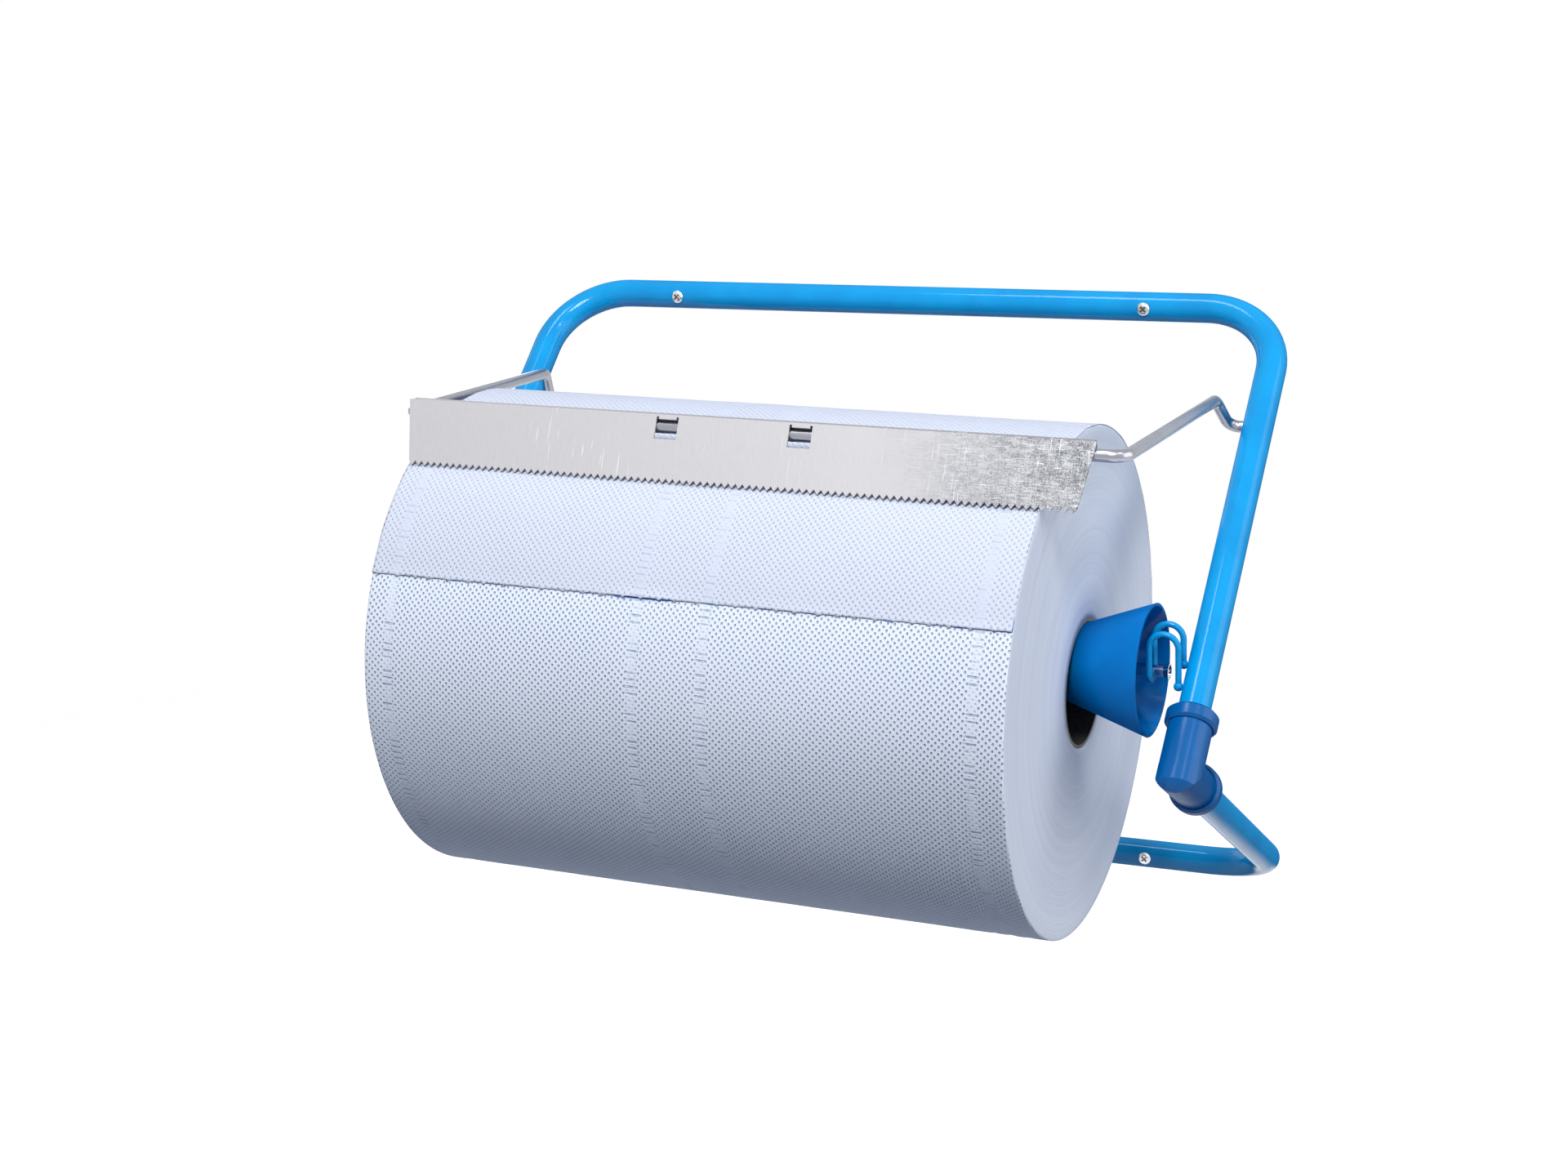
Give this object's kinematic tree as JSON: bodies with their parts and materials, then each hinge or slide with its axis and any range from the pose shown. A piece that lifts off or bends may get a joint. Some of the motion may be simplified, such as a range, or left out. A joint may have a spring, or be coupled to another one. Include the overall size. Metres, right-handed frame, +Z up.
{
  "type": "wall-mounted roll holder",
  "caption": "Wall-mounted holder of bent blue tube for a wide paper roll, turning on cones and a lift-out axle, with a swinging toothed tear bar.",
  "frame": {"origin": "centre of the four-screw pattern, on the wall plane behind the bars", "axes": "+X to the right seen from the front, +Y into the wall along the screws, +Z up"},
  "size_m": [0.5152, 0.3712, 0.378],
  "materials": {
    "blue_paint": "gloss",
    "elbow_plastic": "satin",
    "cone_plastic": "gloss",
    "bright_steel": "satin",
    "rod_steel": "satin",
    "galvanised_sheet": "satin",
    "paper": "matte",
    "core_board": "matte",
    "screw_zinc": "satin"
  },
  "bodies": {
    "frame": {"upper_frame": "blue_paint", "lower_frame": "blue_paint", "left_elbow": "elbow_plastic", "right_elbow": "elbow_plastic", "left_axle_hook": "blue_paint", "right_axle_hook": "blue_paint", "top_left_screw": "screw_zinc", "top_right_screw": "screw_zinc", "bottom_left_screw": "screw_zinc", "bottom_right_screw": "screw_zinc"},
    "roll": {"paper_roll": "paper", "cardboard_core": "core_board"},
    "axle": {"axle_tube": "bright_steel"},
    "left_cone": {"left_cone": "cone_plastic"},
    "right_cone": {"right_cone": "cone_plastic"},
    "tear_bar": {"tear_bar_rod": "rod_steel", "tear_blade": "galvanised_sheet"}
  },
  "joints": [
    {"name": "roll_spin", "type": "hinge", "parent": "frame", "child": "roll", "pos_m": [-0.0131, -0.21305, 0.00388], "axis": [0.9999, 0, -0.0146], "continuous": true},
    {"name": "axle_spin", "type": "hinge", "parent": "frame", "child": "axle", "pos_m": [0, -0.21305, 0.01198], "axis": [1, 0, 0], "continuous": true},
    {"name": "left_cone_slide", "type": "slide", "parent": "axle", "child": "left_cone", "axis": [-1, 0, 0], "range_m": [0, 0.0015]},
    {"name": "right_cone_slide", "type": "slide", "parent": "axle", "child": "right_cone", "axis": [1, 0, 0], "range_m": [0, 0.012]},
    {"name": "tear_bar_hinge", "type": "hinge", "parent": "frame", "child": "tear_bar", "pos_m": [0, -0.07708, 0.12206], "axis": [-1, 0, 0], "range_deg": [0, 95]}
  ],
  "couplings": [
    {"joint": "axle_spin", "follows": "roll_spin", "ratio": 1.1953}
  ]
}
